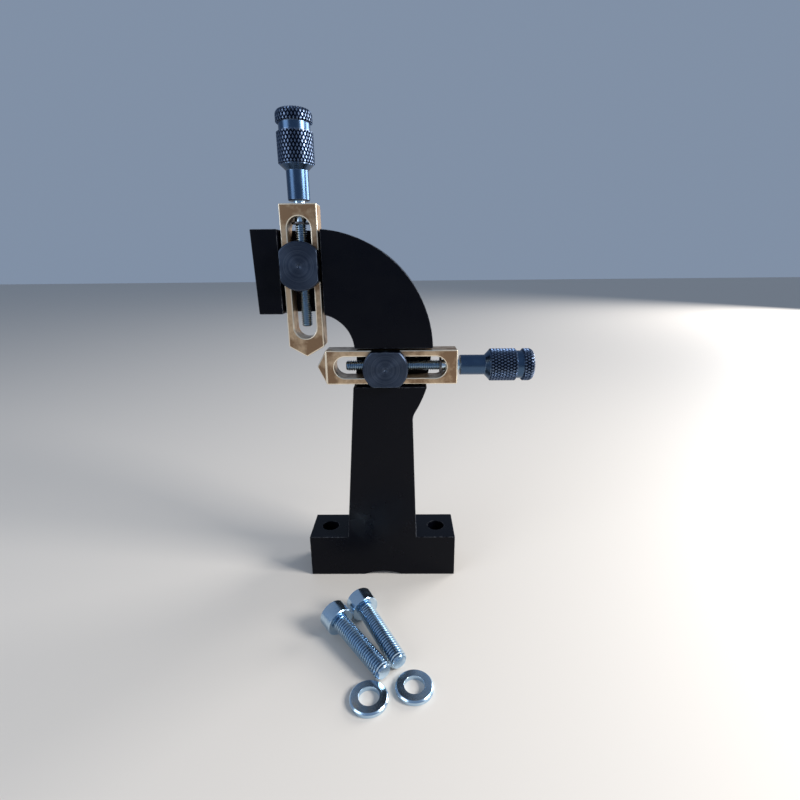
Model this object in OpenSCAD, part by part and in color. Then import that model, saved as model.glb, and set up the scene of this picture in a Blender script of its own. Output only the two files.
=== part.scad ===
// Steady rest for a small lathe: a hooked aluminium frame with two slotted brass fingers.
// A knurled screw moves each finger to or from the work axis, and a stud clamps it.
// Origin: centre of the base's underside. +Z up, the fingers face -Y.

/* [Base] */
// Width of the foot
base_w = 60; // [54:1:80]
// Height of the foot
base_h = 18; // [14:0.5:22]
// Thickness of the whole frame, front to back
frame_t = 18; // [17:0.5:24]
// Distance from each end of the foot to its fixing hole
hole_inset = 7.5; // [7:0.5:10]
// Width of the shelf that each fixing hole goes through, beside the column
shelf_w = 15.95; // [15:0.05:20]
// Radius of the shallow relief under the foot
relief_r = 22; // [18:1:40]
// Height of the relief under the foot
relief_h = 1.4; // [0.8:0.1:2.5]

/* [Column and arch] */
// Lean of the column's right edge, in degrees
column_lean = 1.5; // [0:0.1:2]
// Height of the arch's centre above the work axis
arch_up = 6.6; // [4:0.2:10]
// Distance of the arch's centre from the work axis, towards the column
arch_in = 4.3; // [2:0.1:6]
// Inner radius of the arch
arch_r = 13.3; // [12:0.1:14]
// Width of the arm, all the way round the arch
arm_w = 28.6; // [26:0.2:34]
// Length of the straight arm along its top edge
arm_l = 20.8; // [18:0.2:32]
// How much shorter the arm is along its bottom edge
arm_slant = 0.75; // [0:0.05:4]
// Radius of the shoulder, where the arch's outer edge runs down to the column
shoulder_r = 46.8; // [42:0.2:60]
// Radius in the corner between shoulder and column
corner_r = 6; // [2:0.5:10]

/* [Work axis and grooves] */
// Height of the work axis above the table
axis_z = 89.2; // [70:0.2:120]
// Distance of the work axis from the middle of the foot
axis_x = 26.1; // [24:0.1:30]
// Gap on each side of a finger in its groove
groove_gap = 0.85; // [0.1:0.05:1.5]
// How far a finger's face lies below the frame's face
finger_sunk = 1.35; // [0.5:0.05:3]

/* [Fingers] */
// Length of a finger, tip included
finger_l = 52.4; // [50:0.2:70]
// Width of a finger
finger_w = 12.9; // [11:0.1:15]
// Thickness of a finger
finger_t = 8; // [7:0.1:9]
// Angle of the pointed tip
tip_angle = 120; // [90:5:140]
// Depth of the bevel on one face of the tip
tip_bevel = 2.2; // [0:0.1:3]
// Width of the slot
slot_w = 8; // [7:0.1:9]
// Distance from the tip's point to the slot
slot_start = 6.7; // [6:0.1:10]
// Thickness of the wall between the slot and the square end
end_wall = 4.1; // [3.5:0.1:6]
// Distance of the upper finger's point above the work axis
top_tip_gap = 4.3; // [2:0.1:12]
// Distance of the side finger's point from the work axis
side_tip_gap = 3; // [2:0.1:12]

/* [Clamps] */
// Diameter of a clamp's head
head_d = 16.5; // [15:0.5:20]
// Thickness of a clamp's head
head_t = 4.5; // [3.5:0.1:7]
// Gap on each side of the clamp's shank in the slot
shank_gap = 0.2; // [0.05:0.05:0.5]
// How much shorter the shank is than the finger is thick
shank_short = 0.5; // [0.2:0.1:1.5]
// Distance of the upper clamp from the arm's lower edge
top_clamp_in = 16.4; // [14:0.1:19]
// Distance of the side clamp from the arch's inner face
side_clamp_in = 11.2; // [9.5:0.1:14]
// Length of thread that stands proud of the nut
stud_proud = 1.5; // [0.5:0.5:4]

/* [Adjusting screws and knobs] */
// Diameter of the adjusting screws, M4
screw_d = 4; // [3:0.5:5]
// Distance from a finger's point to the inner end of its screw
screw_start = 10.8; // [8:0.2:14]
// Gap between a finger's square end and its knob
knob_gap = 1; // [0.5:0.1:2]
// Diameter of a knob's shank
knob_shank_d = 7.5; // [7:0.1:10]
// Length of a knob's shank
knob_shank_l = 9.4; // [8:0.2:16]
// Length of the cone above the shank
knob_cone_l = 1.75; // [1:0.05:3]
// Diameter over the knurling
knurl_d = 12.1; // [11:0.1:16]
// Length of the knurled grip
knurl_l = 9.95; // [8:0.05:16]
// Depth of the smooth neck below the knurling
neck_step = 0.85; // [0.3:0.05:1.5]
// Length of the smooth neck
neck_l = 2.3; // [2.2:0.1:5]
// Height of the knurled end ring, dome included
crown_l = 4.6; // [4:0.1:6]
// Height of the dome on that ring
dome_l = 0.9; // [0.5:0.1:1.5]
// Rounding between the ring's side and its dome
dome_edge_r = 1.8; // [1:0.1:2.4]
// Diameter of the cross pin that holds knob and screw together
pin_d = 1.6; // [1:0.1:2]
// Distance of the cross pin from the grip's end
pin_in = 0.9; // [0.8:0.1:1.8]
// How far the side knob is turned about its screw, in degrees
side_turn = 75; // [0:5:355]
// How far the retaining ring in the slot stands proud of its screw
ring_step = 1.1; // [0.8:0.1:1.5]
// Thickness of the retaining ring
ring_t = 0.8; // [0.6:0.1:1.2]

/* [Clamp studs, nuts, washers and mounting screws] */
// Thread of the clamp studs and the mounting screws, M6
bolt_d = 6; // [5:1:8]
// Length of the mounting screws under the head
bolt_l = 25; // [20:1:35]
// Gap between a mounting screw and its hole in the foot
bolt_gap = 0.5; // [0.2:0.1:1]
// Gap between a clamp stud and its hole in the frame
stud_gap = 0.3; // [0.1:0.05:0.5]
// Thickness of a washer
washer_t = 1.6; // [1:0.1:2]

/* [Hidden] */
$fn = 96;

// Clearances
slide_gap = 0.05;   // between a finger and the faces it slides on
turn_gap = 0.06;    // radial, around every turning shaft
fixed_gap = 0.02;   // radial, around pins and screws that are held fast
end_play = 0.15;    // of a retaining ring
cut = 1;            // how far a cutter runs past what it cuts

// Hardware, in the proportions of M6
washer_d = bolt_d * 2;
washer_hole_d = bolt_d + 0.4;
nut_flats = bolt_d * 5 / 3;
nut_t = bolt_d * 5 / 6;
bolt_head_d = bolt_d * 5 / 3;
bolt_head_l = bolt_d;
socket_flats = bolt_d * 5 / 6;

// Frame
bolt_spacing = base_w - 2 * hole_inset;
bolt_hole_d = bolt_d + 2 * bolt_gap;
stud_hole_d = bolt_d + 2 * stud_gap;
column_foot_w = base_w - 2 * shelf_w;
arch_x = axis_x - arch_in;
arch_z = axis_z + arch_up;
arch_outer_r = arch_r + arm_w;
shoulder_c = [arch_outer_r - arch_x - shoulder_r, arch_z];
column_top_x = arch_r - arch_x;
foot_right = [column_foot_w / 2, base_h];
lean_along = [-sin(column_lean), cos(column_lean)];
lean_out = [cos(column_lean), sin(column_lean)];
groove_w = finger_w + 2 * groove_gap;
groove_d = finger_t + slide_gap + finger_sunk;
web_t = frame_t - groove_d;

// Depths, front to back
groove_floor_y = -frame_t / 2 + groove_d;
finger_back_y = groove_floor_y - slide_gap;
finger_front_y = finger_back_y - finger_t;
screw_y = finger_back_y - finger_t / 2;
head_back_y = finger_front_y - slide_gap;

// Finger, along its length from the tip's point
tip_l = finger_w / 2 / tan(tip_angle / 2);
slot_end = finger_l - end_wall;
slot_r = slot_w / 2;
ring_d = screw_d + 2 * ring_step;
ring_at = slot_end - slot_r + sqrt(pow(slot_r, 2) - pow(ring_d / 2, 2)) - end_play - ring_t;

// Clamps
head_flats = finger_w;
shank_d = slot_w - 2 * shank_gap;
top_clamp_at = arch_up + arch_r + top_clamp_in;
side_clamp_at = arch_in + arch_r + side_clamp_in;

// Knob and screw, along the finger's line
knob_at = finger_l + knob_gap;
neck_d = knurl_d - 2 * neck_step;
grip_at = knob_shank_l + knob_cone_l;
neck_at = grip_at + knurl_l;
crown_at = neck_at + neck_l;
knob_l = crown_at + crown_l;
pin_at = knob_at + neck_at + pin_in;
bore_l = neck_at + neck_l;
ring_groove_d = screw_d * 0.8;

// Loose screws: place of the point under the head, heading of the tip
lay = bolt_d / 6;   // spreads the loose pieces out with their size
lay_gap = 0.06;
bolt_tilt = atan((bolt_head_d - bolt_d) / 2 / bolt_l);
bolt_rise = bolt_head_d / 2 * cos(bolt_tilt);
left_screw_at = [-13.4, -41.6] * lay;
right_screw_at = [-5.2, -35.2] * lay;
left_heading = -49.5;
left_along = [cos(left_heading), sin(left_heading)];
heads_apart = abs(cross(right_screw_at - left_screw_at, left_along));
right_heading = left_heading - asin((heads_apart - bolt_d - lay_gap) / bolt_l / cos(bolt_tilt));
left_washer_at = [-1.7, -67.4] * lay;
right_washer_at = [12.1, -63.5] * lay;

// ---- Placing ----

// Stands an outline that was drawn in X and Z up, centred on the frame's thickness
module upright(t) rotate([90, 0, 0]) translate([0, 0, -t / 2]) linear_extrude(t) children();

// A finger's own line runs along +Z from its point, its face towards -Y
module at_top() translate([-axis_x, 0, axis_z + top_tip_gap]) children();
module at_side() translate([side_tip_gap - axis_x, 0, axis_z]) rotate([0, 90, 0]) children();

// The side knob, its screw and its pin are turned about their line
module turned_side() at_side() translate([0, screw_y, 0]) rotate([0, 0, side_turn])
    translate([0, -screw_y, 0]) children();

// A clamp's own line runs along +Y
module at_top_clamp() translate([-axis_x, 0, axis_z + top_clamp_at]) children();
module at_side_clamp() translate([side_clamp_at - axis_x, 0, axis_z]) rotate([0, 90, 0]) children();

// A solid turned about the line that runs along +Y, from an outline of radius and distance
module turned_along_y() rotate([-90, 0, 0]) rotate_extrude() children();

module ring_outline(d, hole_d, t, edge) {
    polygon([[hole_d / 2, 0], [d / 2, 0], [d / 2, t - edge], [d / 2 - edge, t], [hole_d / 2, t]]);
}

// ---- Frame ----

module column_outline() {
    top_right = foot_right + lean_along * (arch_z - base_h) / lean_along[1];
    polygon([[-column_foot_w / 2, 0], [column_foot_w / 2, 0], foot_right, top_right,
        [column_top_x, arch_z], [-column_foot_w / 2, base_h]]);
}

// The arch's outer edge runs on below its centre, a little flatter, until it meets the column
module shoulder_outline() intersection() {
    translate(shoulder_c) circle(shoulder_r);
    polygon([[-column_foot_w / 2, base_h], [arch_outer_r, base_h], [arch_outer_r, arch_z],
        [column_top_x, arch_z]]);
}

module arch_outline() translate([-arch_x, arch_z]) intersection() {
    difference() {
        circle(arch_outer_r);
        circle(arch_r);
    }
    square(arch_outer_r);
}

module arm_outline() translate([-arch_x, arch_z]) {
    polygon([[0, arch_r], [0, arch_outer_r], [-arm_l, arch_outer_r], [arm_slant - arm_l, arch_r]]);
}

// Fills the corner between the shoulder and the column with a tangent arc
module corner_outline() {
    from_foot = shoulder_c - foot_right;
    reach = shoulder_r + corner_r;
    side = corner_r - from_foot * lean_out;
    arc_c = foot_right + lean_out * corner_r
        + lean_along * (from_foot * lean_along - sqrt(pow(reach, 2) - pow(side, 2)));
    on_column = arc_c - lean_out * corner_r;
    on_shoulder = shoulder_c + (arc_c - shoulder_c) * shoulder_r / reach;
    inside = on_column + on_shoulder - arc_c;
    difference() {
        polygon([on_column, on_shoulder, inside]);
        translate(arc_c) circle(corner_r);
    }
}

module frame_outline() {
    translate([-base_w / 2, 0]) square([base_w, base_h]);
    column_outline();
    shoulder_outline();
    corner_outline();
    arch_outline();
    arm_outline();
}

module frame() color([0.035, 0.04, 0.055]) difference() {
    upright(frame_t) frame_outline();
    // grooves for the fingers
    translate([-axis_x - groove_w / 2, -frame_t / 2 - cut, arch_z])
        cube([groove_w, groove_d + cut, arch_outer_r + cut]);
    translate([-base_w / 2, -frame_t / 2 - cut, axis_z - groove_w / 2])
        cube([base_w, groove_d + cut, groove_w]);
    // holes for the clamps
    at_top_clamp() stud_hole();
    at_side_clamp() stud_hole();
    // fixing holes and the relief between them
    for (side = [-1, 1]) translate([side * bolt_spacing / 2, 0, -cut])
        cylinder(h = base_h + 2 * cut, d = bolt_hole_d);
    translate([0, 0, relief_h - relief_r]) rotate([90, 0, 0])
        cylinder(h = frame_t + 2 * cut, r = relief_r, center = true);
}

module stud_hole() translate([0, groove_floor_y - cut, 0]) rotate([-90, 0, 0])
    cylinder(h = web_t + 2 * cut, d = stud_hole_d);

// ---- Fingers ----

module finger_outline() {
    polygon([[0, 0], [finger_w / 2, tip_l], [finger_w / 2, finger_l],
        [-finger_w / 2, finger_l], [-finger_w / 2, tip_l]]);
}

// bevel_side is -1 for a bevel on the front face and 1 for one on the back face
module finger(bevel_side) color([0.72, 0.55, 0.36]) difference() {
    translate([0, finger_back_y - finger_t / 2, 0]) upright(finger_t) finger_outline();
    // slot with round ends
    translate([-slot_r, finger_front_y - cut, slot_start + slot_r])
        cube([slot_w, finger_t + 2 * cut, slot_end - slot_start - slot_w]);
    for (at = [slot_start + slot_r, slot_end - slot_r])
        translate([0, finger_front_y - cut, at]) rotate([-90, 0, 0])
            cylinder(h = finger_t + 2 * cut, d = slot_w);
    // plain bore for the adjusting screw
    translate([0, screw_y, slot_end - slot_r])
        cylinder(h = slot_r + end_wall + cut, d = screw_d + 2 * turn_gap);
    // bevel at the tip
    translate([0, screw_y, 0]) mirror([0, bevel_side > 0 ? 1 : 0, 0])
        rotate([90, 0, 90]) translate([0, 0, -finger_w / 2 - cut])
            linear_extrude(finger_w + 2 * cut)
                polygon([[-finger_t / 2, tip_l], [-finger_t / 2 - cut, tip_l],
                    [-finger_t / 2 - cut, -cut], [tip_bevel - finger_t / 2, -cut],
                    [tip_bevel - finger_t / 2, 0]]);
}

// ---- Adjusting screws and knobs ----

module adjusting_screw() color([0.66, 0.7, 0.74]) difference() {
    translate([0, screw_y, 0]) rotate_extrude() polygon([
        [0, screw_start], [screw_d / 2 - 0.5, screw_start], [screw_d / 2, screw_start + 0.5],
        [screw_d / 2, ring_at], [ring_groove_d / 2, ring_at],
        [ring_groove_d / 2, ring_at + ring_t], [screw_d / 2, ring_at + ring_t],
        [screw_d / 2, knob_at + bore_l], [0, knob_at + bore_l]]);
    cross_hole();
}

module cross_hole() translate([0, screw_y, pin_at]) rotate([90, 0, 0])
    cylinder(h = neck_d + 2 * cut, d = pin_d + 2 * fixed_gap, center = true);

module knob() color([0.06, 0.075, 0.11]) difference() {
    translate([0, screw_y, knob_at]) rotate_extrude() difference() {
        knob_outline();
        square([screw_d / 2 + fixed_gap, bore_l]);
    }
    cross_hole();
}

module knob_outline() {
    edge = 0.4;
    knurl_r = knurl_d / 2;
    dome_r = (pow(knurl_r, 2) + pow(dome_l, 2)) / 2 / dome_l;
    // centre of the rounding that touches the ring's side and the dome
    round_x = knurl_r - dome_edge_r;
    slope = asin(round_x / (dome_r - dome_edge_r));
    round_z = knob_l - dome_r + (dome_r - dome_edge_r) * cos(slope);
    past = dome_edge_r + cut;
    polygon([[0, 0], [knob_shank_d / 2 - 0.3, 0], [knob_shank_d / 2, 0.3],
        [knob_shank_d / 2, knob_shank_l], [knurl_d / 2 - edge, grip_at],
        [knurl_d / 2, grip_at + edge], [knurl_d / 2, neck_at - edge],
        [neck_d / 2, neck_at], [neck_d / 2, crown_at], [knurl_d / 2 - edge, crown_at],
        [knurl_r, crown_at + edge], [knurl_r, round_z], [0, round_z]]);
    translate([round_x, round_z]) circle(dome_edge_r);
    intersection() {
        translate([0, knob_l - dome_r]) circle(dome_r);
        polygon([[0, round_z], [round_x, round_z],
            [round_x + past * sin(slope), round_z + past * cos(slope)], [0, knob_l + cut]]);
    }
}

module knob_pin() color([0.72, 0.75, 0.78]) translate([0, screw_y, pin_at]) rotate([90, 0, 0])
    cylinder(h = neck_d - 0.2, d = pin_d, center = true);

module retaining_ring() color([0.2, 0.21, 0.23]) translate([0, screw_y, ring_at + 0.05])
    difference() {
        cylinder(h = ring_t - 0.1, d = ring_d);
        translate([0, 0, -cut]) cylinder(h = ring_t + 2 * cut, d = ring_groove_d + 2 * fixed_gap);
    }

// ---- Clamps ----

module clamp_stud() color([0.04, 0.05, 0.075]) {
    rim = 0.45;
    stud_end_y = frame_t / 2 + washer_t + nut_t + stud_proud;
    difference() {
        union() {
            // head with two flats that run along the groove
            intersection() {
                translate([0, head_back_y - head_t, 0]) turned_along_y() polygon([
                    [0, 0], [head_d / 2 - rim, 0], [head_d / 2, rim], [head_d / 2, head_t],
                    [0, head_t]]);
                translate([-head_flats / 2, head_back_y - head_t, -head_d / 2])
                    cube([head_flats, head_t, head_d]);
            }
            // shank and threaded end
            translate([0, head_back_y, 0]) turned_along_y() {
                shank_l = finger_t + 2 * slide_gap - shank_short;
                stud_l = stud_end_y - head_back_y;
                polygon([[0, 0], [shank_d / 2, 0], [shank_d / 2, shank_l], [bolt_d / 2, shank_l],
                    [bolt_d / 2, stud_l - 0.6], [bolt_d / 2 - 0.6, stud_l], [0, stud_l]]);
            }
        }
        // cross hole that the adjusting screw turns in
        translate([0, screw_y, 0])
            cylinder(h = shank_d + 2 * cut, d = screw_d + 2 * turn_gap, center = true);
        // centre mark in the head
        translate([0, head_back_y - head_t, 0]) turned_along_y() polygon([[0, 0], [0.7, 0], [0, 0.5]]);
    }
}

module clamp_washer() color([0.7, 0.72, 0.74]) translate([0, frame_t / 2, 0]) turned_along_y()
    ring_outline(washer_d, washer_hole_d, washer_t, 0.3);

module clamp_nut() color([0.66, 0.68, 0.7]) translate([0, frame_t / 2 + washer_t, 0])
    difference() {
        intersection() {
            rotate([-90, 0, 0]) cylinder(h = nut_t, d = nut_flats / cos(30), $fn = 6);
            turned_along_y() polygon([[0, 0], [nut_flats * 0.54, 0], [nut_flats * 0.58, 0.4],
                [nut_flats * 0.58, nut_t - 0.4], [nut_flats * 0.54, nut_t], [0, nut_t]]);
        }
        translate([0, -cut, 0]) rotate([-90, 0, 0])
            cylinder(h = nut_t + 2 * cut, d = bolt_d + 2 * turn_gap);
    }

// ---- Mounting hardware, laid out on the table in front of the foot ----

module mounting_screw(at, heading) color([0.7, 0.74, 0.78])
    translate([at[0], at[1], bolt_rise]) rotate([0, 0, heading])
        rotate([0, 90 + bolt_tilt, 0]) difference() {
            rotate_extrude() polygon([[0, -bolt_head_l], [bolt_head_d / 2 - 0.5, -bolt_head_l],
                [bolt_head_d / 2, 0.5 - bolt_head_l], [bolt_head_d / 2, 0], [bolt_d / 2, 0],
                [bolt_d / 2, bolt_l - 0.7], [bolt_d / 2 - 0.7, bolt_l], [0, bolt_l]]);
            translate([0, 0, -bolt_head_l - cut])
                cylinder(h = bolt_head_l / 2 + cut, d = socket_flats / cos(30), $fn = 6);
        }

module mounting_washer(at) color([0.7, 0.74, 0.78]) translate([at[0], at[1], 0])
    rotate_extrude() ring_outline(washer_d, washer_hole_d, washer_t, 0.3);

// ---- Nodes ----

frame();
at_top() finger(1);  // top_finger
at_side() finger(-1);  // side_finger
at_top() adjusting_screw();  // top_adjusting_screw
turned_side() adjusting_screw();  // side_adjusting_screw
at_top() knob();  // top_knob
turned_side() knob();  // side_knob
at_top() knob_pin();  // top_knob_pin
turned_side() knob_pin();  // side_knob_pin
at_top() retaining_ring();  // top_retaining_ring
at_side() retaining_ring();  // side_retaining_ring
at_top_clamp() clamp_stud();  // top_clamp_stud
at_side_clamp() clamp_stud();  // side_clamp_stud
at_top_clamp() clamp_washer();  // top_clamp_washer
at_side_clamp() clamp_washer();  // side_clamp_washer
at_top_clamp() clamp_nut();  // top_clamp_nut
at_side_clamp() clamp_nut();  // side_clamp_nut
mounting_screw(left_screw_at, left_heading);  // mounting_screw_left
mounting_screw(right_screw_at, right_heading);  // mounting_screw_right
mounting_washer(left_washer_at);  // mounting_washer_left
mounting_washer(right_washer_at);  // mounting_washer_right
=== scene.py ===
# Steady rest for a small lathe: the looks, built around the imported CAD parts.
# Pieces are drawn in millimetres, on their own lines, and moved to their places at the end.
from math import acos, ceil, cos, degrees, pi, radians, sin, sqrt, tan, tau

import bmesh
import bpy
from mathutils import Matrix, Vector


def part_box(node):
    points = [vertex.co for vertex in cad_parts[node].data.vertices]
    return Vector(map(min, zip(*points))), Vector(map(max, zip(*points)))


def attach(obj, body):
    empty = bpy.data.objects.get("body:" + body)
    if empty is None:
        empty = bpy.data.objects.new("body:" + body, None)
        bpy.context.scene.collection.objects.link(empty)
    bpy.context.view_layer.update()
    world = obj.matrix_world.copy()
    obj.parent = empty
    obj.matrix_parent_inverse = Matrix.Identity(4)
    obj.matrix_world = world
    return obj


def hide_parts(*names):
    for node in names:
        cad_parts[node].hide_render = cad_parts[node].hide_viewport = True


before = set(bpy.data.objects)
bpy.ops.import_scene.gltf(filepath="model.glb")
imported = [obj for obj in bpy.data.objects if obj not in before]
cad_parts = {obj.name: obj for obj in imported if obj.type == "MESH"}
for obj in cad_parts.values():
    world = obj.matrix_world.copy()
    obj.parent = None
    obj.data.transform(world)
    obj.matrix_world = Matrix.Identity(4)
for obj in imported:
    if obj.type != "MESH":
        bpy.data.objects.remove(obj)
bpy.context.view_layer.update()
mm = 0.001
collection = bpy.context.scene.collection
print("frame loaded with", len(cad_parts), "CAD nodes")


# Places, all read from the CAD nodes

def middle(node):
    low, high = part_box(node)
    return (low + high) / 2


def length(node, axis):
    low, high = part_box(node)
    return (high - low)[axis] / mm


# A finger's line runs along +Z from its point, its face towards -Y
def fingerPlace(which):
    low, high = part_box(which + "_finger")
    if which == "top":
        return Matrix.Translation((middle("top_finger").x, 0, low.z))
    turn = Matrix.Rotation(radians(90), 4, "Y")
    return Matrix.Translation((low.x, 0, middle("side_finger").z)) @ turn


# A clamp's line runs along +Z from the front of its head to the end of its stud
def clampPlace(which):
    low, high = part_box(which + "_clamp_stud")
    centre = (low + high) / 2
    turn = Matrix.Rotation(radians(-90), 4, "X")
    if which == "side":
        turn = Matrix.Rotation(radians(90), 4, "Y") @ turn
    return Matrix.Translation((centre.x, low.y, centre.z)) @ turn


screwDepth = middle("top_adjusting_screw").y / mm
places = {which: fingerPlace(which) for which in ("top", "side")}
clampPlaces = {which: clampPlace(which) for which in ("top", "side")}


# Shaping

def arcPoints(centre, radius, fromAngle, toAngle, steps):
    angles = [radians(fromAngle + (toAngle - fromAngle) * i / steps) for i in range(steps + 1)]
    return [Vector(centre) + radius * Vector((cos(a), sin(a))) for a in angles]


def weld(bm, distance=0.002):
    bmesh.ops.remove_doubles(bm, verts=bm.verts, dist=distance)


def joinShell(bm, other):
    mesh = bpy.data.meshes.new("shell")
    other.to_mesh(mesh)
    other.free()
    bm.from_mesh(mesh)
    bpy.data.meshes.remove(mesh)


# Turns an outline of (radius, height) about the line; it starts and ends on the line, or is closed
def turned(bm, outline, closed=False, steps=64, rounding=0, angle=360):
    shell = bmesh.new()
    verts = [shell.verts.new((radius, 0, height)) for radius, height in outline]
    pairs = list(zip(verts, verts[1:])) + ([(verts[-1], verts[0])] if closed else [])
    edges = [shell.edges.new(pair) for pair in pairs]
    if rounding:
        corners = verts if closed else verts[1:-1]
        bmesh.ops.bevel(shell, geom=corners, offset=rounding, segments=3, profile=0.5,
                        affect="VERTICES", clamp_overlap=True, material=-1)
    start = shell.verts[:] + shell.edges[:]
    bmesh.ops.spin(shell, geom=start, cent=(0, 0, 0), axis=(0, 0, 1), angle=radians(angle),
                   steps=steps, use_merge=angle == 360)
    weld(shell)
    if angle != 360:
        bmesh.ops.holes_fill(shell, edges=[e for e in shell.edges if e.is_boundary], sides=0)
    joinShell(bm, shell)


# A thread with 60 degree flanks, from one height to another, its ends turned down by the chamfer
def threaded(bm, radius, pitch, start, end, chamferStart=0, chamferEnd=0, steps=28):
    shell = bmesh.new()
    root = radius - 0.6134 * pitch
    half = (root + radius) / 2
    turn = [(root, 0), (half, 5 / 32), (radius, 5 / 16), (radius, 7 / 16), (half, 19 / 32),
            (root, 3 / 4), (root, 1)]
    verts = [shell.verts.new((r, 0, start + (z - 1) * pitch)) for r, z in turn]
    edges = [shell.edges.new(pair) for pair in zip(verts, verts[1:])]
    turns = ceil((end - start) / pitch) + 2
    bmesh.ops.spin(shell, geom=verts + edges, cent=(0, 0, 0), axis=(0, 0, 1), angle=tau * turns,
                   dvec=(0, 0, pitch / steps), steps=steps * turns)
    weld(shell)
    # faces near the root take the piece's second finish, a painted shade in the thread's hollow
    for face in shell.faces:
        face.material_index = int(face.calc_center_median().xy.length < half)
    for height, outward in ((start, -1), (end, 1)):
        bmesh.ops.bisect_plane(shell, geom=shell.verts[:] + shell.edges[:] + shell.faces[:],
                               plane_co=(0, 0, height), plane_no=(0, 0, outward), clear_outer=True)
    for vert in shell.verts:
        allowed = min(radius - chamferStart + vert.co.z - start,
                      radius - chamferEnd + end - vert.co.z)
        r = vert.co.xy.length
        if r > allowed:
            vert.co.x *= allowed / r
            vert.co.y *= allowed / r
    ends = bmesh.ops.holes_fill(shell, edges=[e for e in shell.edges if e.is_boundary], sides=0)
    for face in ends["faces"]:
        face.material_index = 0
    joinShell(bm, shell)


# A merged copy of a CAD node, in millimetres, its coplanar triangles joined into whole faces
def cadCopy(node):
    bm = bmesh.new()
    bm.from_mesh(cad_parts[node].data)
    bmesh.ops.scale(bm, vec=(1 / mm, 1 / mm, 1 / mm), verts=bm.verts)
    weld(bm)
    bmesh.ops.dissolve_limit(bm, angle_limit=radians(0.6), verts=bm.verts, edges=bm.edges,
                             use_dissolve_boundaries=False)
    return bm


def breakEdges(bm, width, segments=2, material=-1, over=30, within=None):
    corners = [e for e in bm.edges if e.is_manifold and e.calc_face_angle() > radians(over)
               and (within is None or all(within(v.co) for v in e.verts))]
    bmesh.ops.bevel(bm, geom=corners, offset=width, offset_type="OFFSET", segments=segments, profile=0.5,
                    affect="EDGES", clamp_overlap=False, material=material)


def sliceOff(bm, point, outward):
    bmesh.ops.bisect_plane(bm, geom=bm.verts[:] + bm.edges[:] + bm.faces[:], plane_co=point,
                           plane_no=outward, clear_outer=True)
    bmesh.ops.holes_fill(bm, edges=[e for e in bm.edges if e.is_boundary], sides=0)


def addPiece(name, bm, materials, body, cadNodes, place=None, sharp=32):
    weld(bm, 0.0005)
    bm.transform((place or Matrix.Identity(4)) @ Matrix.Scale(mm, 4))
    bmesh.ops.recalc_face_normals(bm, faces=bm.faces)
    for face in bm.faces:
        face.smooth = True
    for edge in bm.edges:
        edge.smooth = not edge.is_manifold or edge.calc_face_angle() < radians(sharp)
    mesh = bpy.data.meshes.new(name)
    bm.to_mesh(mesh)
    bm.free()
    for material in materials:
        mesh.materials.append(material)
    piece = bpy.data.objects.new(name, mesh)
    collection.objects.link(piece)
    shading = piece.modifiers.new("faceNormals", "WEIGHTED_NORMAL")
    shading.keep_sharp = True
    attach(piece, body)
    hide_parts(*cadNodes)
    return piece


# Shader groups: each puts out masks and values

def newGroup(name, inputs, outputs):
    group = bpy.data.node_groups.new(name, "ShaderNodeTree")
    for label, kind, value in inputs:
        socket = group.interface.new_socket(label, in_out="INPUT", socket_type="NodeSocket" + kind)
        if value is not None:
            socket.default_value = value
    for label, kind in outputs:
        group.interface.new_socket(label, in_out="OUTPUT", socket_type="NodeSocket" + kind)
    return group, Builder(group)


class Builder:
    # adds nodes to a tree and links them in one call
    def __init__(self, tree):
        self.tree = tree

    def add(self, kind, settings=None, **inputs):
        node = self.tree.nodes.new(kind)
        for key, value in (settings or {}).items():
            setattr(node, key, value)
        for key, value in inputs.items():
            self.feed(node.inputs[int(key[1:])] if key[1:].isdigit() else node.inputs[key], value)
        return node

    def feed(self, socket, value):
        if isinstance(value, bpy.types.NodeSocket):
            self.tree.links.new(value, socket)
        else:
            socket.default_value = value

    def math(self, operation, first, second=0.0, third=0.0, clamp=False):
        settings = {"operation": operation, "use_clamp": clamp}
        return self.add("ShaderNodeMath", settings, i0=first, i1=second, i2=third).outputs[0]

    def mapRange(self, value, fromLow, fromHigh, toLow=0.0, toHigh=1.0):
        return self.add("ShaderNodeMapRange", {"clamp": True}, i0=value, i1=fromLow, i2=fromHigh,
                        i3=toLow, i4=toHigh).outputs[0]

    def mix(self, factor, first, second):
        node = self.add("ShaderNodeMix", {"data_type": "RGBA"}, i0=factor)
        self.feed(node.inputs[6], first)
        self.feed(node.inputs[7], second)
        return node.outputs[2]

    def noise(self, vector, scale, detail=3.0, roughness=0.5):
        return self.add("ShaderNodeTexNoise", {"noise_dimensions": "3D"}, Vector=vector, Scale=scale,
                        Detail=detail, Roughness=roughness).outputs["Fac"]


# How much a point lies on an edge that stands out, from the normals around it; where used it lightens
# edges, partly as wear, partly as a painted highlight
def makeEdgeWearAndHighlight():
    group, b = newGroup("edgeWearAndHighlight", [("Width", "Float", 0.0004), ("Breaks", "Float", 900.0)],
                        [("Mask", "Float")])
    given = b.add("NodeGroupInput")
    rounded = b.add("ShaderNodeBevel", {"samples": 4}, Radius=given.outputs["Width"])
    surface = b.add("ShaderNodeNewGeometry")
    match = b.add("ShaderNodeVectorMath", {"operation": "DOT_PRODUCT"}, i0=rounded.outputs[0],
                  i1=surface.outputs["Normal"])
    edge = b.mapRange(match.outputs["Value"], 0.99, 0.86)
    place = b.add("ShaderNodeTexCoord").outputs["Object"]
    broken = b.mapRange(b.noise(place, given.outputs["Breaks"]), 0.35, 0.6)
    out = b.add("NodeGroupOutput")
    b.feed(out.inputs["Mask"], b.math("MULTIPLY", edge, broken, clamp=True))
    return group


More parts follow.
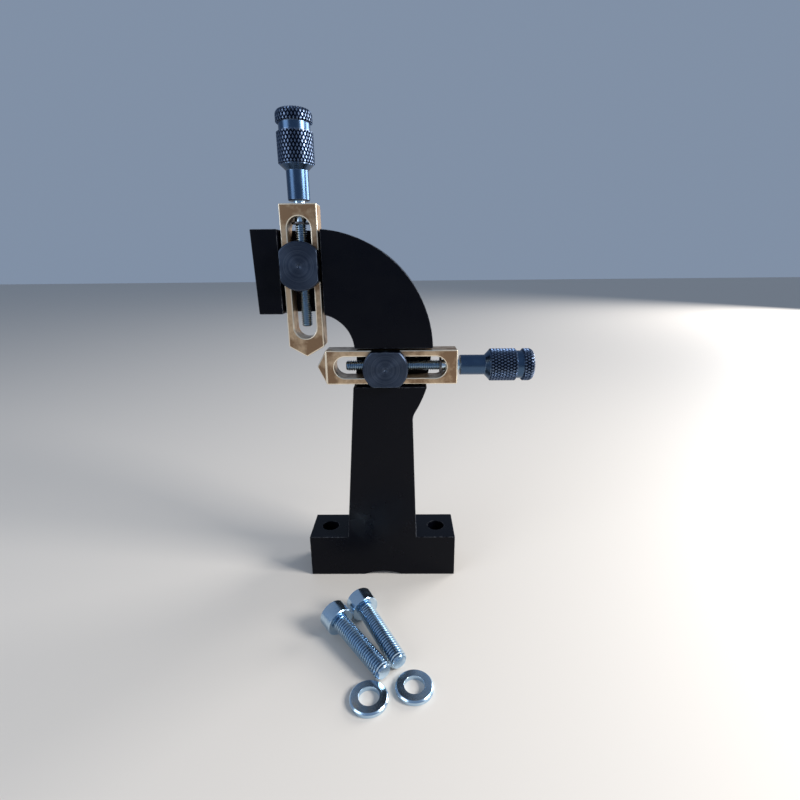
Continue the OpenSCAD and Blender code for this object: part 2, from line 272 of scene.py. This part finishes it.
# Fine scratches that run one way, and the cloudy stain of handled metal
def makeBrushed():
    group, b = newGroup("brushed", [("Vector", "Vector", None), ("Scale", "Float", 1.0)],
                        [("Scratches", "Float"), ("Stain", "Float")])
    given = b.add("NodeGroupInput")
    vector, scale = given.outputs["Vector"], given.outputs["Scale"]
    scaled = b.add("ShaderNodeVectorMath", {"operation": "SCALE"}, i0=vector)
    b.feed(scaled.inputs["Scale"], scale)
    long = b.add("ShaderNodeMapping", Vector=scaled.outputs[0])
    long.inputs["Scale"].default_value = (9000, 9000, 350)
    fine = b.noise(long.outputs[0], 1.0, 2.0, 0.6)
    patches = b.noise(scaled.outputs[0], 190.0, 4.0, 0.6)
    broad = b.noise(scaled.outputs[0], 70.0, 2.0, 0.5)
    stain = b.mapRange(b.math("ADD", patches, broad), 0.88, 1.12)
    out = b.add("NodeGroupOutput")
    b.feed(out.inputs["Scratches"], fine)
    b.feed(out.inputs["Stain"], stain)
    return group


# Fine grain of an etched and dyed or plated surface
def makeGrain():
    group, b = newGroup("grain", [("Fine", "Float", 9000.0), ("Broad", "Float", 300.0)],
                        [("Grain", "Float"), ("Cloud", "Float")])
    given = b.add("NodeGroupInput")
    place = b.add("ShaderNodeTexCoord").outputs["Object"]
    out = b.add("NodeGroupOutput")
    b.feed(out.inputs["Grain"], b.noise(place, given.outputs["Fine"], 2.0, 0.5))
    cloud = b.noise(place, given.outputs["Broad"], 3.0, 0.55)
    b.feed(out.inputs["Cloud"], b.mapRange(cloud, 0.35, 0.65))
    return group


# Concentric marks of a lathe tool about the Z axis of the vector it is given
def makeTurningMarks():
    group, b = newGroup("turningMarks", [("Vector", "Vector", None), ("Spacing", "Float", 0.0004)],
                        [("Rings", "Float"), ("Fan", "Float")])
    given = b.add("NodeGroupInput")
    parts = b.add("ShaderNodeSeparateXYZ", Vector=given.outputs["Vector"])
    x, y = parts.outputs[0], parts.outputs[1]
    radius = b.math("SQRT", b.math("ADD", b.math("MULTIPLY", x, x), b.math("MULTIPLY", y, y)))
    count = b.math("DIVIDE", radius, given.outputs["Spacing"])
    uneven = b.add("ShaderNodeTexNoise", {"noise_dimensions": "1D"}, W=count, Scale=0.6,
                   Detail=3.0).outputs["Fac"]
    wave = b.math("SINE", b.math("MULTIPLY", count, tau))
    rings = b.math("ADD", b.math("MULTIPLY", wave, 0.25), b.math("MULTIPLY", uneven, 0.9))
    around = b.math("ARCTAN2", y, x)
    fan = b.math("COSINE", b.math("MULTIPLY", b.math("ADD", around, 0.5), 2.0))
    out = b.add("NodeGroupOutput")
    b.feed(out.inputs["Rings"], rings)
    b.feed(out.inputs["Fan"], b.mapRange(fan, -1.0, 1.0))
    return group


edgeWearAndHighlight = makeEdgeWearAndHighlight()
brushed = makeBrushed()
grain = makeGrain()
turningMarks = makeTurningMarks()


def newMaterial(name, **shaderValues):
    material = bpy.data.materials.new(name)
    material.use_nodes = True
    b = Builder(material.node_tree)
    shader = material.node_tree.nodes["Principled BSDF"]
    for label, value in shaderValues.items():
        shader.inputs[label].default_value = value
    return material, b, shader


def placeGroup(b, group, **values):
    node = b.add("ShaderNodeGroup", {"node_tree": group})
    for label, value in values.items():
        b.feed(node.inputs[label], value)
    return node.outputs


def bump(b, shader, height, depth, strength=1.0):
    node = b.add("ShaderNodeBump", Height=height, Distance=depth, Strength=strength)
    b.feed(shader.inputs["Normal"], node.outputs[0])


# The vector of a pattern, centred and turned onto a piece's own line
def patternVector(b, place):
    mapping = b.add("ShaderNodeMapping", {"vector_type": "TEXTURE"},
                    Vector=b.add("ShaderNodeTexCoord").outputs["Object"])
    mapping.inputs["Location"].default_value = place.to_translation()
    mapping.inputs["Rotation"].default_value = place.to_euler()
    return mapping.outputs[0]


# Colours of the pieces; some are painted highlights and painted shade, as noted
coloursAndPaintedLight = {
    "frameBlack": (0.0012, 0.0016, 0.0038, 1),
    # lighter frame edges: partly wear, partly a painted highlight
    "frameWornAndHighlight": (0.15, 0.16, 0.18, 1),
    "knobBlack": (0.055, 0.098, 0.170, 1),
    # lighter knob, knurl-top and clamp-head edges: partly wear, partly a painted highlight
    "knobWornAndHighlight": (0.26, 0.33, 0.45, 1),
    # lighter knurl tops: partly wear, partly a painted highlight
    "knurlTipWearAndHighlight": (0.10, 0.14, 0.22, 1),
    # darker knurl flanks and clamp thread roots: painted shade
    "paintedKnurlShade": (0.040, 0.062, 0.11, 1),
    "headBlack": (0.020, 0.030, 0.056, 1),
    "headRings": (0.075, 0.096, 0.135, 1),
    "brass": (0.66, 0.48, 0.31, 1),
    "brassStained": (0.27, 0.17, 0.10, 1),
    # brass chamfers: painted highlight
    "brassPaintedHighlight": (0.97, 0.87, 0.70, 1),
    "zinc": (0.60, 0.74, 0.86, 1),
    "zincBlue": (0.44, 0.62, 0.80, 1),
    # thread roots: painted shade
    "paintedRootShade": (0.17, 0.27, 0.38, 1),
    "steel": (0.58, 0.59, 0.60, 1),
    "steelDull": (0.5, 0.5, 0.52, 1),
    "springSteel": (0.10, 0.105, 0.12, 1),
    "springDull": (0.16, 0.15, 0.15, 1),
}


def blackSkin(name, base, wornAndLitColour, roughness, metallic, gloss, edgeMaskWidth=0.0004):
    material, b, shader = newMaterial(name, **{"Metallic": metallic, "Specular IOR Level": gloss})
    etched = placeGroup(b, grain, Fine=8000.0, Broad=160.0)
    wornAndLitEdges = placeGroup(b, edgeWearAndHighlight, Width=edgeMaskWidth, Breaks=700.0)
    # edges are lightened towards the second colour: partly wear, partly a painted highlight along them
    b.feed(shader.inputs["Base Color"], b.mix(b.math("MULTIPLY", wornAndLitEdges["Mask"], 0.75), base, wornAndLitColour))
    b.feed(shader.inputs["Roughness"], b.mapRange(etched["Cloud"], 0.0, 1.0, roughness - 0.04,
                                                  roughness + 0.05))
    bump(b, shader, etched["Grain"], 0.000004, 0.5)
    return material


def turnedBlack(name, place):
    material, b, shader = newMaterial(name, **{"Metallic": 1.0, "Anisotropic": 0.75})
    vector = patternVector(b, place)
    marks = placeGroup(b, turningMarks, Vector=vector)
    wornAndLitEdges = placeGroup(b, edgeWearAndHighlight, Width=0.0004, Breaks=700.0)
    dyed = b.mix(b.mapRange(marks["Rings"], 0.2, 0.8), coloursAndPaintedLight["headBlack"], coloursAndPaintedLight["headRings"])
    # the rim is lightened with the knob's edge colour: partly wear, partly a painted highlight
    b.feed(shader.inputs["Base Color"], b.mix(wornAndLitEdges["Mask"], dyed, coloursAndPaintedLight["knobWornAndHighlight"]))
    b.feed(shader.inputs["Roughness"], b.mapRange(marks["Rings"], 0.0, 1.0, 0.34, 0.48))
    bump(b, shader, marks["Rings"], 0.000012)
    # highlights spread outwards from the middle, across the rings
    parts = b.add("ShaderNodeSeparateXYZ", Vector=vector).outputs
    outwards = b.add("ShaderNodeMapping", {"vector_type": "VECTOR"},
                     Vector=b.add("ShaderNodeCombineXYZ", X=parts[0], Y=parts[1]).outputs[0])
    outwards.inputs["Rotation"].default_value = place.to_euler()
    toWorld = b.add("ShaderNodeVectorTransform", {"vector_type": "VECTOR", "convert_from": "OBJECT",
                                                  "convert_to": "WORLD"}, Vector=outwards.outputs[0])
    b.feed(shader.inputs["Tangent"], toWorld.outputs[0])
    return material


def brassMaterial(name, place, base, stained, roughness, stainAmount):
    material, b, shader = newMaterial(name, **{"Metallic": 1.0})
    marks = placeGroup(b, brushed, Vector=patternVector(b, place))
    stain = b.math("MULTIPLY", marks["Stain"], stainAmount)
    b.feed(shader.inputs["Base Color"], b.mix(stain, base, stained))
    rough = b.math("ADD", b.mapRange(marks["Stain"], 0.0, 1.0, roughness - 0.06, roughness + 0.08),
                   b.math("MULTIPLY", marks["Scratches"], 0.12))
    b.feed(shader.inputs["Roughness"], rough)
    bump(b, shader, marks["Scratches"], 0.000009)
    return material


def platedMaterial(name, base, tint, roughness, cloudScale=160.0):
    material, b, shader = newMaterial(name, **{"Metallic": 1.0})
    skin = placeGroup(b, grain, Fine=7000.0, Broad=cloudScale)
    b.feed(shader.inputs["Base Color"], b.mix(skin["Cloud"], base, tint))
    b.feed(shader.inputs["Roughness"], b.mapRange(skin["Cloud"], 0.0, 1.0, roughness - 0.05,
                                                  roughness + 0.06))
    bump(b, shader, skin["Grain"], 0.000001, 0.3)
    return material


frameFinish = blackSkin("blackAnodisedFrame", coloursAndPaintedLight["frameBlack"], coloursAndPaintedLight["frameWornAndHighlight"], 0.30, 0.0, 0.12)
knobFinish = blackSkin("blackOxideKnob", coloursAndPaintedLight["knobBlack"], coloursAndPaintedLight["knobWornAndHighlight"], 0.26, 1.0, 0.5)
knurlTips = blackSkin("blackOxideTipWearAndHighlight", coloursAndPaintedLight["knurlTipWearAndHighlight"], coloursAndPaintedLight["knobWornAndHighlight"], 0.36, 1.0, 0.5)
paintedGrooveShade = blackSkin("blackOxidePaintedGrooveShade", coloursAndPaintedLight["paintedKnurlShade"], coloursAndPaintedLight["paintedKnurlShade"], 0.36, 1.0, 0.5)
headFinishes = {which: turnedBlack(which + "ClampHead", clampPlaces[which]) for which in clampPlaces}
brassFaces = {which: brassMaterial(which + "BrassFace", places[which], coloursAndPaintedLight["brass"],
                                   coloursAndPaintedLight["brassStained"], 0.36, 1.0) for which in places}
# finish of the broken edges: brass lightened as a painted highlight
brassEdgeHighlights = {which: brassMaterial(which + "BrassPaintedEdgeHighlight", places[which], coloursAndPaintedLight["brassPaintedHighlight"],
                                   coloursAndPaintedLight["brass"], 0.30, 0.25) for which in places}
zincFinish = platedMaterial("zincPlate", coloursAndPaintedLight["zinc"], coloursAndPaintedLight["zincBlue"], 0.20)
threadRootShade = platedMaterial("zincPaintedRootShade", coloursAndPaintedLight["paintedRootShade"], coloursAndPaintedLight["paintedRootShade"], 0.30)
steelFinish = platedMaterial("brightSteel", coloursAndPaintedLight["steel"], coloursAndPaintedLight["steelDull"], 0.22)
ringFinish = platedMaterial("springSteel", coloursAndPaintedLight["springSteel"], coloursAndPaintedLight["springDull"], 0.35)
print("finishes made:", len(bpy.data.materials))


# Frame: the anodised hook with its two grooves

frameLook = {"brokenEdge": 0.28}

bm = cadCopy("frame")
breakEdges(bm, frameLook["brokenEdge"])
addPiece("anodisedFrame", bm, [frameFinish], "frame", ["frame"])
print("frame done")


# Fingers

fingerLook = {"brokenEdge": 0.42}

for which in ("top", "side"):
    bm = cadCopy(which + "_finger")
    # the broken edges take the second finish, a painted highlight
    breakEdges(bm, fingerLook["brokenEdge"], segments=2, material=1)
    addPiece(which + "BrassFinger", bm, [brassFaces[which], brassEdgeHighlights[which]], which + "_finger",
             [which + "_finger"])
print("fingers done")


# Adjusting screws: M4 thread up to the ring groove, a plain shaft from there into the knob

screwLook = {
    "pitch": 0.7, "chamfer": 0.5, "grooveShare": 0.8, "intoThread": 0.2, "shoulder": 0.1,
    "ringPlay": 0.03, "ringRounding": 0.12,
}

for which in ("top", "side"):
    along = 2 if which == "top" else 0
    nodes = [which + "_adjusting_screw", which + "_retaining_ring"]
    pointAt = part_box(which + "_finger")[0][along]
    low, high = [(value[along] - pointAt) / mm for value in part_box(nodes[0])]
    ringLow, ringHigh = [(value[along] - pointAt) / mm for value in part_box(nodes[1])]
    radius = length(nodes[0], 1) / 2
    groove = radius * screwLook["grooveShare"]
    onLine = places[which] @ Matrix.Translation((0, screwDepth * mm, 0))
    bm = bmesh.new()
    threaded(bm, radius, screwLook["pitch"], low, ringLow, chamferStart=screwLook["chamfer"],
             chamferEnd=screwLook["chamfer"])
    shaftStart = ringLow - screwLook["intoThread"]
    turned(bm, [(0, shaftStart), (groove, shaftStart), (groove, ringHigh),
                (radius, ringHigh + screwLook["shoulder"]), (radius, high), (0, high)], steps=40)
    addPiece(which + "AdjustingScrew", bm, [zincFinish, threadRootShade], which + "_screw",
             [nodes[0]], onLine)

    # open spring ring in that groove
    inner = groove + screwLook["ringPlay"]
    outer = length(nodes[1], 1) / 2
    bm = bmesh.new()
    turned(bm, [(inner, ringLow), (outer, ringLow), (outer, ringHigh), (inner, ringHigh)],
           closed=True, steps=40, rounding=screwLook["ringRounding"], angle=300)
    addPiece(which + "RetainingRing", bm, [ringFinish], which + "_screw",
             [nodes[1]], onLine)
print("adjusting screws done")


# Knobs

knobLook = {
    "shankRadius": 3.75, "shankLength": 9.4, "coneLength": 1.75, "gripLength": 9.95,
    "neckRadius": 5.2, "neckLength": 2.3, "domeHeight": 0.9, "domeEdge": 1.8, "domeFlat": 1.6,
    "endChamfer": 0.4, "sideTurn": 75, "linesAround": 32, "helix": 28, "knurlDepth": 0.42,
    "knurlFlank": 0.27, "coreUnder": 0.6,
}


# Diamond knurling: a turned square grid, each cell raised, cut to a strip and wrapped along the path
def knurledBand(bm, path, innerRadius, look):
    lengths = [0]
    for start, end in zip(path, path[1:]):
        lengths.append(lengths[-1] + (end - start).length)
    total = lengths[-1]
    around = look["linesAround"]
    wide = tau * max(point.x for point in path) / around
    tall = wide / tan(radians(look["helix"]))
    cells = 2 * ceil((around + total / tall) / 2) + 2
    strip = bmesh.new()
    bmesh.ops.create_grid(strip, x_segments=cells, y_segments=cells, size=cells / 2)
    bmesh.ops.rotate(strip, verts=strip.verts, cent=(0, 0, 0),
                     matrix=Matrix.Rotation(radians(45), 3, "Z"))
    bmesh.ops.scale(strip, vec=(wide / sqrt(2), tall / sqrt(2), 1), verts=strip.verts)
    bmesh.ops.inset_individual(strip, faces=strip.faces[:], thickness=look["knurlFlank"],
                               depth=look["knurlDepth"], use_even_offset=True)
    for face in strip.faces:
        # diamond tops take the lighter finish (wear and painted highlight), the flanks the darker one
        # (painted shade)
        face.material_index = 1 if face.calc_center_median().z > 0.9 * look["knurlDepth"] else 2
    edge = wide * around / 2
    for point, outward in (((edge, 0, 0), (1, 0, 0)), ((-edge, 0, 0), (-1, 0, 0)),
                           ((0, total / 2, 0), (0, 1, 0)), ((0, -total / 2, 0), (0, -1, 0))):
        bmesh.ops.bisect_plane(strip, geom=strip.verts[:] + strip.edges[:] + strip.faces[:],
                               plane_co=point, plane_no=outward, clear_outer=True)
    for bend in lengths[1:-1]:
        bmesh.ops.bisect_plane(strip, geom=strip.verts[:] + strip.edges[:] + strip.faces[:],
                               plane_co=(0, bend - total / 2, 0), plane_no=(0, 1, 0))
    for vert in strip.verts:
        distance = min(max(vert.co.y + total / 2, 0), total)
        piece = max(i for i in range(len(path) - 1) if lengths[i] <= distance)
        direction = (path[piece + 1] - path[piece]).normalized()
        raised = vert.co.z - look["knurlDepth"]
        spot = path[piece] + direction * (distance - lengths[piece])
        spot += Vector((direction.y, -direction.x)) * raised
        turn = vert.co.x / (wide * around) * tau
        vert.co = (spot.x * cos(turn), spot.x * sin(turn), spot.y)
    weld(strip)
    bmesh.ops.extrude_edge_only(strip, edges=[e for e in strip.edges if e.is_boundary])
    rims = [e for e in strip.edges if e.is_boundary]
    for vert in {v for e in rims for v in e.verts}:
        scale = innerRadius / vert.co.xy.length
        vert.co.x *= scale
        vert.co.y *= scale
    bmesh.ops.bridge_loops(strip, edges=rims)
    joinShell(bm, strip)


for which in ("top", "side"):
    along = 2 if which == "top" else 0
    knob = which + "_knob"
    radius = length(knob, 1) / 2
    tall = length(knob, along)
    look = knobLook
    coneAt = look["shankLength"]
    gripAt = coneAt + look["coneLength"]
    neckAt = gripAt + look["gripLength"]
    crownAt = neckAt + look["neckLength"]
    start = (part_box(knob)[0][along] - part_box(which + "_finger")[0][along])
    onLine = places[which] @ Matrix.Translation((0, screwDepth * mm, start))

    # low dome over the end ring: a rounding at its edge, then a wide arc to a small flat
    domeRadius = (radius ** 2 + look["domeHeight"] ** 2) / 2 / look["domeHeight"]
    roundAt = radius - look["domeEdge"]
    slope = degrees(acos(roundAt / (domeRadius - look["domeEdge"])))
    domeAt = tall - domeRadius + (domeRadius - look["domeEdge"]) * sin(radians(slope))
    flatAngle = degrees(acos(look["domeFlat"] / domeRadius))
    dome = arcPoints((roundAt, domeAt), look["domeEdge"], 0, slope, 5)
    dome += arcPoints((0, tall - domeRadius), domeRadius, slope, flatAngle, 3)[1:]
    chamfer, core = look["endChamfer"], radius - look["coreUnder"]
    flatAt = dome[-1].y

    bm = bmesh.new()
    turned(bm, [(0, 0), (look["shankRadius"] - 0.3, 0), (look["shankRadius"], 0.3),
                (look["shankRadius"], coneAt), (core, gripAt - 0.15), (core, neckAt - 0.3),
                (look["neckRadius"], neckAt - 0.05), (look["neckRadius"], crownAt + 0.05),
                (core, crownAt + 0.3), (core, domeAt), (roundAt, flatAt - 0.8),
                (look["domeFlat"] - 0.1, flatAt), (0, flatAt)])
    grip = [(core, gripAt - 0.15), (radius - chamfer, gripAt), (radius, gripAt + chamfer),
            (radius, neckAt - chamfer), (radius - 0.85, neckAt)]
    knurledBand(bm, [Vector(point) for point in grip], core - 0.6, look)
    crown = [Vector((radius - chamfer, crownAt)), Vector((radius, crownAt + chamfer))] + dome
    knurledBand(bm, crown, look["domeFlat"] - 0.6, look)
    addPiece(which + "KnurledKnob", bm, [knobFinish, knurlTips, paintedGrooveShade], which + "_screw",
             [knob], onLine, sharp=24)

    # cross pin with domed ends
    pin = which + "_knob_pin"
    pinCentre = middle(pin)
    pinRadius = length(pin, along) / 2
    half = knobLook["neckRadius"] - 0.1
    bm = bmesh.new()
    turned(bm, [(0, -half), (pinRadius, -half), (pinRadius, half), (0, half)], steps=24, rounding=0.3)
    turnPin = Matrix.Translation(pinCentre) @ places[which].to_3x3().to_4x4()
    if which == "side":
        turnPin = turnPin @ Matrix.Rotation(radians(knobLook["sideTurn"]), 4, "Z")
    turnPin = turnPin @ Matrix.Rotation(radians(90), 4, "X")
    addPiece(which + "KnobPin", bm, [steelFinish], which + "_screw", [pin], turnPin)
print("knobs done")


# Clamps: head and shank from the CAD, a real thread behind the frame

clampLook = {
    "rim": 0.16, "headDepth": 5, "pitch": 1.0, "endChamfer": 0.6, "threadRadius": 3.0,
    "plainEnd": 2, "intoShank": 0.5, "nutEdge": 0.12,
}

for which in ("top", "side"):
    stud = which + "_clamp_stud"
    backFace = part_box("frame")[1].y / mm
    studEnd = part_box(stud)[1].y / mm
    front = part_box(stud)[0].y / mm
    bm = cadCopy(stud)
    shankEnd = backFace - clampLook["plainEnd"]
    sliceOff(bm, (0, shankEnd, 0), (0, 1, 0))
    breakEdges(bm, clampLook["rim"], within=lambda co: co.y < front + clampLook["headDepth"])
    bm.transform(clampPlaces[which].inverted() @ Matrix.Scale(mm, 4))
    bmesh.ops.scale(bm, vec=(1 / mm, 1 / mm, 1 / mm), verts=bm.verts)
    threaded(bm, clampLook["threadRadius"], clampLook["pitch"],
             shankEnd - clampLook["intoShank"] - front, studEnd - front,
             chamferEnd=clampLook["endChamfer"])
    # the thread roots take the second finish, a painted shade
    addPiece(which + "ClampStud", bm, [headFinishes[which], paintedGrooveShade], "frame",
             [stud], clampPlaces[which])

    bm = cadCopy(which + "_clamp_nut")
    breakEdges(bm, clampLook["nutEdge"], segments=1)
    addPiece(which + "ClampNut", bm, [zincFinish], which + "_nut",
             [which + "_clamp_nut"])
print("clamps done")


# Washers, behind the frame and loose in front of the foot

washerLook = {"hole": 3.2, "edge": 0.3, "rounding": 0.12}


def washer(name, node, body, place):
    thick = min(length(node, 1), length(node, 2))
    radius = length(node, 0) / 2
    edge = washerLook["edge"]
    bm = bmesh.new()
    turned(bm, [(washerLook["hole"], 0), (radius - edge * 0.4, 0), (radius, edge * 0.4),
                (radius, thick - edge * 1.6), (radius - edge * 1.6, thick),
                (washerLook["hole"], thick)],
           closed=True, rounding=washerLook["rounding"])
    addPiece(name, bm, [zincFinish], body, [node], place)


for which in ("top", "side"):
    node = which + "_clamp_washer"
    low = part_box(node)[0]
    centre = middle(node)
    back = Matrix.Translation((centre.x, low.y, centre.z)) @ Matrix.Rotation(radians(-90), 4, "X")
    washer(which + "ClampWasher", node, which + "_washer", back)
for which in ("left", "right"):
    node = "mounting_washer_" + which
    centre = middle(node)
    washer(which + "MountingWasher", node, "frame", Matrix.Translation((centre.x, centre.y, 0)))
print("washers done")


# Mounting screws: they lie on head and tip, so their line slopes down from the head

boltLook = {
    "headings": {"left": -49.5, "right": -59.5}, "radius": 3.0, "length": 25.0, "pitch": 1.0,
    "headRadius": 5.0, "headLength": 6.0, "socketFlats": 5.0, "socketDepth": 3.0, "chamfer": 0.7,
    "headEdge": 0.45, "sides": 48, "socketPoint": 1, "intoHead": 0.2, "leanShare": 0.998,
}


def socketHead(bm, look):
    head = bmesh.new()
    top, edge = look["headLength"], look["headEdge"]
    # ring of the top face, from the hexagon out, then the sides and the underside
    hexRadius = look["socketFlats"] / 2 / cos(pi / 6)
    bmesh.ops.create_circle(head, segments=look["sides"], radius=look["headRadius"] - edge)
    hexagon = bmesh.ops.create_circle(head, segments=6, radius=hexRadius)["verts"]
    hexEdges = {e for v in hexagon for e in v.link_edges}
    bmesh.ops.subdivide_edges(head, edges=list(hexEdges), cuts=look["sides"] // 6 - 1)
    bmesh.ops.bridge_loops(head, edges=head.edges[:])
    bmesh.ops.translate(head, vec=(0, 0, -top), verts=head.verts)
    inner = [e for e in head.edges if e.is_boundary and e.verts[0].co.xy.length < hexRadius + 0.01]
    outer = [e for e in head.edges if e.is_boundary and e not in inner]
    # socket walls and floor, running on to a point as a broached hole does
    walls = bmesh.ops.extrude_edge_only(head, edges=inner)["geom"]
    floor = [v for v in walls if isinstance(v, bmesh.types.BMVert)]
    bmesh.ops.translate(head, vec=(0, 0, look["socketDepth"]), verts=floor)
    loop = [e for e in walls if isinstance(e, bmesh.types.BMEdge) and e.is_boundary]
    cone = bmesh.ops.extrude_edge_only(head, edges=loop)["geom"]
    for vert in [v for v in cone if isinstance(v, bmesh.types.BMVert)]:
        vert.co = (0, 0, look["socketDepth"] + look["socketPoint"] - top)
    # chamfer, side and underside
    for radius, height in ((look["headRadius"], edge - top), (look["headRadius"], -edge * 0.5),
                           (look["headRadius"] - edge * 0.5, 0), (0, 0)):
        ring = bmesh.ops.extrude_edge_only(head, edges=outer)["geom"]
        for vert in [v for v in ring if isinstance(v, bmesh.types.BMVert)]:
            scale = radius / vert.co.xy.length
            vert.co = (vert.co.x * scale, vert.co.y * scale, height)
        outer = [e for e in ring if isinstance(e, bmesh.types.BMEdge) and e.is_boundary]
    weld(head)
    joinShell(bm, head)


for which in ("left", "right"):
    node = "mounting_screw_" + which
    low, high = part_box(node)
    look = boltLook
    bm = bmesh.new()
    socketHead(bm, look)
    threaded(bm, look["radius"], look["pitch"], -look["intoHead"], look["length"],
             chamferEnd=look["chamfer"])
    heading = radians(look["headings"][which])
    rise = look["headRadius"] - look["radius"]
    tilt = Matrix.Rotation(radians(90) + (rise / look["length"]) * look["leanShare"], 4, "Y")
    place = Matrix.Rotation(heading, 4, "Z") @ tilt
    # put where its box is
    trial = bm.copy()
    trial.transform(place @ Matrix.Scale(mm, 4))
    corner = Vector([min(v.co[i] for v in trial.verts) for i in range(3)])
    far = Vector([max(v.co[i] for v in trial.verts) for i in range(3)])
    trial.free()
    place = Matrix.Translation((low + high) / 2 - (corner + far) / 2) @ place
    addPiece(which + "MountingScrew", bm, [zincFinish, threadRootShade], "frame",
             [node], place)
print("mounting hardware done")


# Floor, light and camera

studio = {
    "floorSize": 3.0, "floorColour": (0.66, 0.61, 0.55, 1), "worldColour": (0.22, 0.28, 0.38, 1),
    "worldStrength": 1.0,
}

bm = bmesh.new()
bmesh.ops.create_grid(bm, x_segments=1, y_segments=1, size=studio["floorSize"])
floorMesh = bpy.data.meshes.new("floor")
bm.to_mesh(floorMesh)
bm.free()
floor = bpy.data.objects.new("floor", floorMesh)
collection.objects.link(floor)
floorFinish, b, shader = newMaterial("paleFloor", Roughness=0.6)
shader.inputs["Base Color"].default_value = studio["floorColour"]
floorMesh.materials.append(floorFinish)

world = bpy.data.worlds.new("studio")
world.use_nodes = True
background = world.node_tree.nodes["Background"]
background.inputs["Color"].default_value = studio["worldColour"]
background.inputs["Strength"].default_value = studio["worldStrength"]
bpy.context.scene.world = world


def softLight(name, place, target, size, power, colour=(1, 1, 1)):
    light = bpy.data.lights.new(name, "AREA")
    light.shape = "RECTANGLE"
    light.size, light.size_y = size
    light.energy = power
    light.color = colour
    lamp = bpy.data.objects.new(name, light)
    lamp.location = place
    lamp.rotation_euler = (Vector(target) - Vector(place)).to_track_quat("-Z", "Y").to_euler()
    collection.objects.link(lamp)


bpy.context.scene.view_settings.view_transform = "Standard"

middleOfWork = (0.0, 0.0, 0.08)
softLight("key", (0.46, -0.16, 0.33), middleOfWork, (0.20, 0.20), 3.6, (1.0, 0.99, 0.97))
softLight("fill", (-0.45, -0.35, 0.30), middleOfWork, (0.35, 0.35), 1.0, (0.86, 0.92, 1.0))
softLight("side", (1.1, 0.70, 0.45), middleOfWork, (0.7, 0.7), 16.0)

view = {
    "place": (0.00979, -0.17414, 0.12696), "lens": 20.7, "yaw": -0.662, "down": 16.822, "roll": 0.556,
}

yaw, down, roll = (radians(view[key]) for key in ("yaw", "down", "roll"))
forward = Vector((sin(yaw) * cos(down), cos(yaw) * cos(down), -sin(down)))
levelRight = Vector((cos(yaw), -sin(yaw), 0))
levelDown = forward.cross(levelRight)
right = levelRight * cos(roll) + levelDown * sin(roll)
below = levelDown * cos(roll) - levelRight * sin(roll)
camera = bpy.data.objects.new("camera", bpy.data.cameras.new("camera"))
camera.data.sensor_width = 36
camera.data.lens = view["lens"]
camera.data.clip_start = 0.005
facing = Matrix((right, -below, -forward)).transposed().to_4x4()
camera.matrix_world = Matrix.Translation(view["place"]) @ facing
collection.objects.link(camera)
bpy.context.scene.camera = camera
